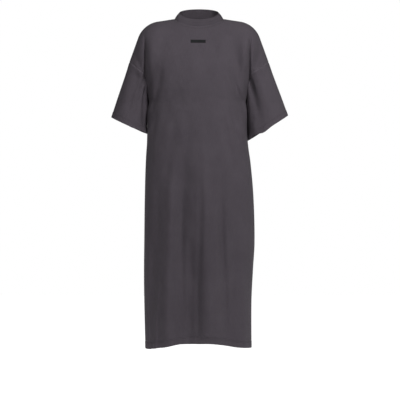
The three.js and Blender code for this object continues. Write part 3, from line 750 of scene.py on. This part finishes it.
marks = {face: panel_marks(points) for face, points in panels.items()}
shaped = {face: sunk(panels[face], False, marks[face]["from_seam"], marks[face]["from_hem"], HEM_DEPTH)
          for face in panels}
sew(shaped["front"], shaped["back"], (0, SHOULDER))
sew(shaped["front"], shaped["back"], (slice(UPPER_ROWS, None), 0))
sew(shaped["front"], shaped["back"], (slice(UPPER_ROWS, None), -1))


def make_panel(face):
    """The mesh of one panel, its UV map measured from the middle and up from the hem."""
    across = walked_from(panels[face], 1, 0)
    across = across - across[:, across.shape[1] // 2][:, None]
    uv = cell_map(across, -marks[face]["from_hem"], False)
    piece = sheet_piece(f"{face}_cloth", shaped[face], False, marks[face], uv)
    thicken(piece, JERSEY_WALL)
    return piece


panel_pieces = {face: make_panel(face) for face in TOWARDS}
for face, piece in panel_pieces.items():
    print(piece.name, len(piece.data.polygons), "faces")


# %% Sleeves, set into the armholes
def make_sleeve(side):
    """One sleeve, with ditches along the armhole and along its own seam at the inner side. Its
    first row takes the places of the sewn panels' edges, so no gap is left."""
    points = sleeves[side]
    armhole = walked_from(points, 0, 0)
    cuff = walked_from(points, 0, -1)
    under = near_line(points, points[:, UPPER_ROWS], UNDER_REACH)
    seam = np.minimum(armhole, under)
    tube = sunk(points, True, seam, cuff, CUFF_HEM_DEPTH)
    column = 0 if side == "left" else -1
    tube[0] = ring(*(shaped[face][:UPPER_ROWS + 1, column] for face in TOWARDS))
    across = walked_from(points, 1, 0)
    distances = {"from_seam": seam, "from_hem": cuff, "from_neck": np.full(seam.shape, FAR)}
    piece = sheet_piece(f"sleeve_{side}_cloth", tube, True, distances, cell_map(across, -cuff, True))
    thicken(piece, JERSEY_WALL)
    return piece


sleeve_pieces = {side: make_sleeve(side) for side in CUFF}
for side, piece in sleeve_pieces.items():
    print(piece.name, len(piece.data.polygons), "faces")

# %% [markdown]
# ## Collar band
#
# The collar is a strip of rib folded double, so its top edge is a soft roll and not a cut
# edge. A tube with Solidify would give it a sharp rim. Instead its section is carried round
# the collar seam: up the outside, over a half round, and down the inside.

# %% Sizes of the collar
BAND_TOP = {"half": 70, "front": 55, "back": 56}
BAND_LEVEL = {"front": -8, "side": 24, "back": 42}
BAND_THICK = 2.6
BAND_PUFF = 2.0         # how far the band stands out half way up
BAND_RIPPLES = rows("share wide deep", (0.42, 0.07, 0.5), (0.72, 0.06, 0.4))
ALLOWANCE = 0.12        # share of the band's height that is sewn inside
BAND_ROWS = 22
ROLL_ROWS = 8


# %% Collar section and its ring
def band_sheet():
    """Outer sheet of the band: a seam allowance inside the dress, then straight lines up from
    the collar seam to the top edge, an oval whose height goes with the cosine of the turn."""
    seam = ring(*(shaped[face][0, COLLAR_COLUMNS] for face in TOWARDS))
    turn = 2 * np.pi * np.arange(len(seam)) / len(seam) - np.pi / 2
    sideways, forward = np.sin(turn), np.cos(turn)
    reach = np.where(forward > 0, BAND_TOP["front"], BAND_TOP["back"])
    end = np.where(forward > 0, BAND_LEVEL["front"], BAND_LEVEL["back"])
    level = BAND_LEVEL["side"] + (end - BAND_LEVEL["side"]) * np.abs(forward)
    top = np.stack([BAND_TOP["half"] * sideways, -forward * reach, level], axis=-1)
    t = np.concatenate([[-ALLOWANCE], np.linspace(0, 1, BAND_ROWS + 1)])[:, None, None]
    return seam[None] * (1 - t) + top[None] * t, t


def band_ring():
    """Outside, roll and inside as rows of one closed section. The outside puffs by a sine of
    half a turn and has two faint ripples, bells, where the rib is pressed round the neck. The
    roll is a half circle from the outside's top row to the inside's."""
    sheet, t = band_sheet()
    out = outward(sheet, True)
    puff = BAND_PUFF * np.sin(np.pi * t)
    for share, wide, deep in zip(*BAND_RIPPLES.values()):
        puff = puff - deep * bell((t - share) / wide)
    outside = sheet + puff * out
    inside = sheet - BAND_THICK * out
    rise = sheet[-1] - sheet[-2]
    rise = rise / np.linalg.norm(rise, axis=-1, keepdims=True)
    middle = (outside[-1] + inside[-1]) / 2
    radius = np.linalg.norm(outside[-1] - inside[-1], axis=-1, keepdims=True) / 2
    angle = np.linspace(0, np.pi, ROLL_ROWS + 1)[1:-1, None, None]
    roll = middle + radius * (np.cos(angle) * out[-1] + np.sin(angle) * rise)
    return np.concatenate([outside, roll, inside[::-1], outside[:1]])


def make_band():
    """The collar as a closed ring: its last faces end on its first row of points again. Each
    face with the middle makes a pyramid, and their signed sizes add up to more than nothing
    when the faces point outwards."""
    points = band_ring()
    uv = cell_map(walked_from(points, 1, 0), walked_from(points, 0, 0), True)
    row_count, column_count = points.shape[:2]
    faces = grid_faces(row_count, column_count, True) % ((row_count - 1) * column_count)
    corners = points[:-1].reshape(-1, 3) * MM
    a, b, c = (corners[faces[:, k]] for k in (0, 1, 2))
    if (a * np.cross(b, c)).sum() < 0:
        faces, uv = faces[:, ::-1], uv[:, ::-1]
    return new_piece("collar_rib", corners, faces, uv, {})


band_piece = make_band()
print("collar", len(band_piece.data.polygons), "faces")

# %% [markdown]
# ## Chest tab
#
# A small woven tab is sewn flat on the chest, plain and bare. It is cut from the same form
# as the panel below it and moved out by its own thickness, so it follows the chest exactly.

# %% Chest tab
TAB = {"wide": 53, "high": 11.6, "side": -3, "drop": 91, "tilt": np.radians(1.0)}
TAB_LIFT = 0.9          # of its face above the panel
TAB_THICK = 0.7
TAB_DIP = 0.35          # how far its edges bend down, and over what width
TAB_DIP_WIDE = 0.7
TAB_ROWS = 12
TAB_COLUMNS = 40


def make_tab():
    """A grid over the tab's rectangle on the chest, moved out, less a bell at its edges."""
    down, across = np.meshgrid(np.linspace(-0.5, 0.5, TAB_ROWS + 1),
                               np.linspace(-0.5, 0.5, TAB_COLUMNS + 1), indexing="ij")
    x = TAB["side"] + TAB["wide"] * across
    z = -TAB["drop"] - TAB["high"] * down - np.sin(TAB["tilt"]) * TAB["wide"] * across
    points = cloth("front", x, z)
    edge = np.minimum((0.5 - np.abs(across)) * TAB["wide"], (0.5 - np.abs(down)) * TAB["high"])
    lift = TAB_LIFT - TAB_DIP * bell(edge / TAB_DIP_WIDE)
    points = points + lift[..., None] * outward(points, False)
    uv = cell_map(TAB["wide"] * across, TAB["high"] * down, False)
    piece = sheet_piece("chest_tab_cloth", points, False, {"from_edge": edge}, uv)
    thicken(piece, TAB_THICK)
    return piece


tab_piece = make_tab()
print("tab", len(tab_piece.data.polygons), "faces")

# %% [markdown]
# ## Materials
#
# Everything is matt cotton, so the interest is in small changes: a garment-dyed cloth is
# slightly uneven, paler along seams and hems by a painted highlight, and the knit shows as
# fine upright ribs close to, with painted shade between them. The shader maths is written as
# Python: a small class wraps a socket, so an expression on it adds the nodes it needs. A
# scanned cloth would be quicker, but it blurs close to and repeats, and a pattern worked out
# from metres of cloth does neither.


# %% Sockets as numbers
class Shade:
    """A socket in a material, with Python's operators adding Math nodes."""

    def __init__(self, tree, socket):
        self.tree, self.socket = tree, socket

    def math(self, operation, *others):
        values = {k + 1: other for k, other in enumerate(others)}
        return node(self.tree, "ShaderNodeMath", {"operation": operation}, {0: self, **values})

    def __add__(self, other):
        return self.math("ADD", other)

    def __sub__(self, other):
        return self.math("SUBTRACT", other)

    def __rsub__(self, other):
        return node(self.tree, "ShaderNodeMath", {"operation": "SUBTRACT"}, {0: other, 1: self})

    def __mul__(self, other):
        return self.math("MULTIPLY", other)

    __radd__, __rmul__ = __add__, __mul__


def node(tree, kind, settings=None, inputs=None, output=0):
    """Adds a node: settings first, then values or links for its sockets; gives one output."""
    made = tree.nodes.new(kind)
    for name, value in (settings or {}).items():
        setattr(made, name, value)
    for name, value in (inputs or {}).items():
        if isinstance(value, Shade):
            tree.links.new(value.socket, made.inputs[name])
        else:
            made.inputs[name].default_value = value
    return Shade(tree, made.outputs[output])


# %% Building blocks for materials
def step_between(value, low, high, at_low, at_high):
    """An eased step: at_low up to low, at_high from high on."""
    return node(value.tree, "ShaderNodeMapRange", {"interpolation_type": "SMOOTHSTEP"},
                {"Value": value, "From Min": low, "From Max": high, "To Min": at_low, "To Max": at_high})


def band_mask(distance, at, wide):
    """1 within a narrow band of distances, falling smoothly to 0 at its edges."""
    return step_between((distance - at).math("ABSOLUTE"), wide * 0.5, wide, 1.0, 0.0)


def mixed(tree, factor, first, second):
    """One colour mixed into another by a factor."""
    mix = tree.nodes.new("ShaderNodeMix")
    mix.data_type = "RGBA"
    for socket, value in ((mix.inputs[0], factor), (mix.inputs[6], first), (mix.inputs[7], second)):
        if isinstance(value, Shade):
            tree.links.new(value.socket, socket)
        else:
            socket.default_value = value
    return Shade(tree, mix.outputs[2])


def noise(tree, where, scale, detail=3.0, roughness=0.55):
    """Soft noise from 0 to 1 over a set of coordinates."""
    return node(tree, "ShaderNodeTexNoise", {},
                {"Vector": where, "Scale": scale, "Detail": detail, "Roughness": roughness})


def object_place(tree):
    """Places on the piece in metres."""
    return node(tree, "ShaderNodeTexCoord", {}, {}, "Object")


def across_and_down(tree):
    """Distances across and down the cloth in metres, from the piece's own UV map."""
    uv = node(tree, "ShaderNodeUVMap", {"uv_map": "cloth"})
    across = node(tree, "ShaderNodeSeparateXYZ", {}, {0: uv})
    return across, Shade(tree, across.socket.node.outputs[1])


def mark(tree, name):
    """A distance that is stored on the mesh's points."""
    return node(tree, "ShaderNodeAttribute", {"attribute_name": name}, {}, "Fac")


SPECULAR = 0.18         # cotton reflects little
SHEEN_ROUGHNESS = 0.55


def new_material(name, roughness, sheen):
    """A matt material with its constant values set on the shader's own sockets."""
    material = bpy.data.materials.new(name)
    material.use_nodes = True
    shader = material.node_tree.nodes["Principled BSDF"]
    shader.inputs["Roughness"].default_value = roughness
    shader.inputs["Specular IOR Level"].default_value = SPECULAR
    shader.inputs["Sheen Weight"].default_value = sheen
    shader.inputs["Sheen Roughness"].default_value = SHEEN_ROUGHNESS
    return material, material.node_tree, shader


def coat(tree, shader, base, height, strength, deep):
    """Links a colour to the shader, and a height as bump that is so many metres deep."""
    tree.links.new(base.socket, shader.inputs["Base Color"])
    bump = node(tree, "ShaderNodeBump", {}, {"Strength": strength, "Distance": deep, "Height": height})
    tree.links.new(bump.socket, shader.inputs["Normal"])


# %% [markdown]
# ## Jersey, rib and woven tab
#
# Up close, jersey is upright columns of loops, called wales, and its rows of loops are called
# courses. A cosine across and one down draw both. Stitches are dashes at fixed distances from
# a seam, which the marks on the mesh give. Dye is a mix of a lighter and a darker shade by
# several noises: clouds as wide as a hand, slubs along the yarn and flecks of single fibres.

# %% Dyes, knit and stitches, in metres
DYE_LIGHT = (0.0720, 0.0620, 0.0735, 1)
DYE_DARK = (0.0420, 0.0352, 0.0430, 1)
# painted highlight: a paler colour along seams and hems, where their ridges catch the light
SEAM_HIGHLIGHT = (0.0850, 0.0740, 0.0865, 1)
THREAD = (0.0400, 0.0340, 0.0410, 1)
TAB_BLACK = (0.0060, 0.0062, 0.0072, 1)
TAB_GREY = (0.0135, 0.0138, 0.0150, 1)
WALE = 0.0013               # width of one column of loops
COURSE = 0.0010             # height of one row of loops
RIB_PITCH = 0.0021          # from one upright rib of the collar to the next
WEAVE = (0.0007, 0.0005)    # pitch of the tab's weave, across and down
STITCH = 0.0036             # length of one stitch with its gap
STITCH_WIDE = 0.0008
DASH = (0.12, 0.40)         # heights of a rib between which a stitch begins
COLLAR_ROWS = (0.0060, 0.0105)      # distances of the stitch rows from their edges
SKIRT_ROWS = (0.0190, 0.0235)
CUFF_HEM_ROWS = (0.0170, 0.0215)
TAB_EDGE_ROWS = (0.0012,)
HIGHLIGHT_REACH = (0.0008, 0.0050)       # distances from an edge over which the painted highlight fades out
# strength of the painted highlight right at the edge
HIGHLIGHT_MOST = 0.45
PUCKER_REACH = (0.004, 0.030)       # and over which puckers fade to their least
PUCKER_LEAST = 0.12
# how fine each noise is: how many of its patches fit in a metre
CLOUDS = 9.0
COLLAR_CLOUDS = 14.0
WRINKLES = 20.0
PUCKERS = 130.0
FLECKS = 1400.0
SLUBS = (900.0, 45.0)       # across and down, so that a slub is long and thin


# %% Ribs and rows of stitches
def ribs(value, pitch):
    """Rounded ribs from 0 to 1, one to each pitch: half of one plus a cosine."""
    return (value * (2 * np.pi / pitch)).math("COSINE") * 0.5 + 0.5


def stitch_rows(along, distance, places):
    """Masks of dashed lines at some distances: a narrow band times the dash along it."""
    dash = step_between(ribs(along, STITCH), *DASH, 0.0, 1.0)
    rows_mask = band_mask(distance, places[0], STITCH_WIDE) * dash
    for other in places[1:]:
        rows_mask = rows_mask.math("MAXIMUM", band_mask(distance, other, STITCH_WIDE) * dash)
    return rows_mask


# %% Jersey
def jersey(name, hem_places):
    """Jersey with twin-needle rows beside the collar and at the hem. Painted highlight makes it
    paler within a few millimetres of seams and hems, and it puckers up to 30 mm from them."""
    material, tree, shader = new_material(name, 0.95, 0.02)
    here = object_place(tree)
    across, down = across_and_down(tree)
    hem = mark(tree, "from_hem")
    edge = mark(tree, "from_seam").math("MINIMUM", hem)
    streak = node(tree, "ShaderNodeCombineXYZ", {}, {0: across * SLUBS[0], 1: down * SLUBS[1]})
    cloudy = noise(tree, here, CLOUDS, 4.0)
    slub = noise(tree, streak, 1.0, 2.0)
    fleck = noise(tree, here, FLECKS, 2.0)
    wrinkle = noise(tree, here, WRINKLES, 2.5, 0.45)
    knit = ribs(across, WALE) * 0.6 + ribs(down, COURSE) * 0.4
    hem_rows = stitch_rows(across, hem, hem_places)
    stitches = hem_rows.math("MAXIMUM", stitch_rows(across, mark(tree, "from_neck"), COLLAR_ROWS))
    # painted highlight along seams and hems, fading out within 5 mm of them
    seam_highlight = step_between(edge, *HIGHLIGHT_REACH, HIGHLIGHT_MOST, 0.0)
    # the knit term is painted shade: lighter on the wales and darker in the grooves between them, beside
    # the knit's bump
    shade = cloudy * 0.7 + slub * 0.7 + fleck * 1.1 + knit * 0.15 - 0.82
    base = mixed(tree, shade, DYE_DARK, DYE_LIGHT)
    base = mixed(tree, seam_highlight * (cloudy * 0.6 + 0.4), base, SEAM_HIGHLIGHT)
    base = mixed(tree, stitches, base, THREAD)
    pucker = noise(tree, here, PUCKERS, 2.0) * step_between(edge, *PUCKER_REACH, 1.0, PUCKER_LEAST)
    height = (knit * 0.22 + slub * 0.25 + fleck * 0.35 + stitches * 0.55 + pucker * 0.9
              + wrinkle * 3.2)
    coat(tree, shader, base, height, 0.75, 0.0012)
    return material


# %% Rib and woven tab
def rib(name):
    """One-by-one rib: deeper upright ribs, two millimetres apart."""
    material, tree, shader = new_material(name, 0.95, 0.02)
    here = object_place(tree)
    cords = ribs(across_and_down(tree)[0], RIB_PITCH)
    fleck = noise(tree, here, FLECKS, 2.0)
    # the cords term is painted shade: lighter on each rib and darker in the grooves between them, beside
    # the ribs' bump
    shade = noise(tree, here, COLLAR_CLOUDS, 3.0) * 0.6 + cords * 0.45 + fleck * 1.0 - 0.55
    base = mixed(tree, shade, DYE_DARK, DYE_LIGHT)
    coat(tree, shader, base, cords * 0.9 + fleck * 0.30, 0.7, 0.0010)
    return material


def woven_tab(name):
    """A fine ribbed weave, with a row of stitches just inside the edge."""
    material, tree, shader = new_material(name, 0.80, 0.03)
    across, down = across_and_down(tree)
    weave = ribs(across, WEAVE[0]) * ribs(down, WEAVE[1])
    stitches = stitch_rows(across + down, mark(tree, "from_edge"), TAB_EDGE_ROWS)
    base = mixed(tree, weave * 0.5 + stitches * 0.4, TAB_BLACK, TAB_GREY)
    coat(tree, shader, base, weave * 0.4 + stitches * 0.5, 0.5, 0.0006)
    return material


# %% Dress every piece
body_jersey = jersey("body_jersey", SKIRT_ROWS)
sleeve_jersey = jersey("sleeve_jersey", CUFF_HEM_ROWS)
# for each node of the frame: the piece that stands for it, its slot and its material
DRESSED = {
    "front_panel": (panel_pieces["front"], "jersey", body_jersey),
    "back_panel": (panel_pieces["back"], "jersey", body_jersey),
    "sleeve_left": (sleeve_pieces["left"], "jersey", sleeve_jersey),
    "sleeve_right": (sleeve_pieces["right"], "jersey", sleeve_jersey),
    "collar_band": (band_piece, "rib", rib("collar_rib")),
    "chest_tab": (tab_piece, "tab", woven_tab("tab_weave")),
}
for node_name, (piece, slot, material) in DRESSED.items():
    piece.data.materials.append(material)
    finish_piece(piece, node_name)
    print(piece.name, "is made of", material.name)

# %% [markdown]
# ## Studio
#
# The dress stands on white: a key light above and to the right, a fill from the left, and
# very little light from all round, so that folds still read. White walls would fill the
# folds with light. So the sky is white only for rays that leave the camera, and dim for the
# rays that light the cloth. The floor is a pale sheet that starts just in front of the
# dress, for the same reason.

# %% Floor, sky and lights
FLOOR_LEVEL = -1.482
FLOOR_BOX = {"near": -0.5, "far": 7.0, "half": 4.0}
AMBIENT = 0.13          # strength of the sky for every ray that doesn't leave the camera
FLOOR_GLOW = 0.95


def make_floor():
    """A flat pale sheet, four corners and one face."""
    near, far, half = FLOOR_BOX["near"], FLOOR_BOX["far"], FLOOR_BOX["half"]
    corners = [(-half, near, FLOOR_LEVEL), (half, near, FLOOR_LEVEL),
               (half, far, FLOOR_LEVEL), (-half, far, FLOOR_LEVEL)]
    mesh = bpy.data.meshes.new("floor")
    mesh.from_pydata(corners, [], [(0, 1, 2, 3)])
    floor = bpy.data.objects.new("floor", mesh)
    bpy.context.scene.collection.objects.link(floor)
    pale = bpy.data.materials.new("pale_floor")
    pale.use_nodes = True
    shader = pale.node_tree.nodes["Principled BSDF"]
    shader.inputs["Base Color"].default_value = (0.86, 0.86, 0.86, 1)
    shader.inputs["Roughness"].default_value = 1.0
    shader.inputs["Emission Color"].default_value = (1, 1, 1, 1)
    shader.inputs["Emission Strength"].default_value = FLOOR_GLOW
    mesh.materials.append(pale)
    return floor


def make_sky():
    """White seen from the camera, dim for everything else: one strength mixed by ray kind."""
    world = bpy.data.worlds.new("studio")
    world.use_nodes = True
    tree = world.node_tree
    camera_ray = node(tree, "ShaderNodeLightPath")
    strength = camera_ray * (1.0 - AMBIENT) + AMBIENT
    background = tree.nodes["Background"]
    background.inputs["Color"].default_value = (1, 1, 1, 1)
    tree.links.new(strength.socket, background.inputs["Strength"])
    bpy.context.scene.world = world


def soft_light(name, place, aim, size, watts):
    """A square area light at a place, turned towards its aim."""
    data = bpy.data.lights.new(name, "AREA")
    data.shape, data.size, data.energy = "SQUARE", size, watts
    light = bpy.data.objects.new(name, data)
    light.location = place
    way = np.array(aim) - np.array(place)
    light.rotation_euler = Vector(way.tolist()).to_track_quat("-Z", "Y").to_euler()
    bpy.context.scene.collection.objects.link(light)


make_floor()
make_sky()
MIDDLE = (0.0, 0.0, -0.6)
soft_light("key", (1.10, -1.95, 1.15), (0.0, 0.0, -0.25), 0.7, 62)
soft_light("fill_left", (-1.0, -2.6, 0.5), MIDDLE, 1.0, 30)
soft_light("fill_right", (2.2, -1.4, -0.5), MIDDLE, 1.0, 7)
bpy.context.scene.view_settings.view_transform = "Standard"

# %% Camera
CAMERA_AWAY = 5.0
CAMERA_SIDE = 0.0036
CAMERA_HEIGHT = -0.651      # a little below the middle of the dress
FIELD = 1.44                # width of the view at the dress
SENSOR = 36.0
camera_data = bpy.data.cameras.new("camera")
camera_data.sensor_width = SENSOR
camera_data.lens = SENSOR * CAMERA_AWAY / FIELD
camera = bpy.data.objects.new("camera", camera_data)
camera.location = (CAMERA_SIDE, -CAMERA_AWAY, CAMERA_HEIGHT)
camera.rotation_euler = (np.pi / 2, 0, 0)
bpy.context.scene.collection.objects.link(camera)
bpy.context.scene.camera = camera
print("lens", round(camera_data.lens), "mm")

# %% [markdown]
# ## Finish
#
# The last cell brings the scene up to date.

# %% Bring the scene up to date
bpy.context.view_layer.update()
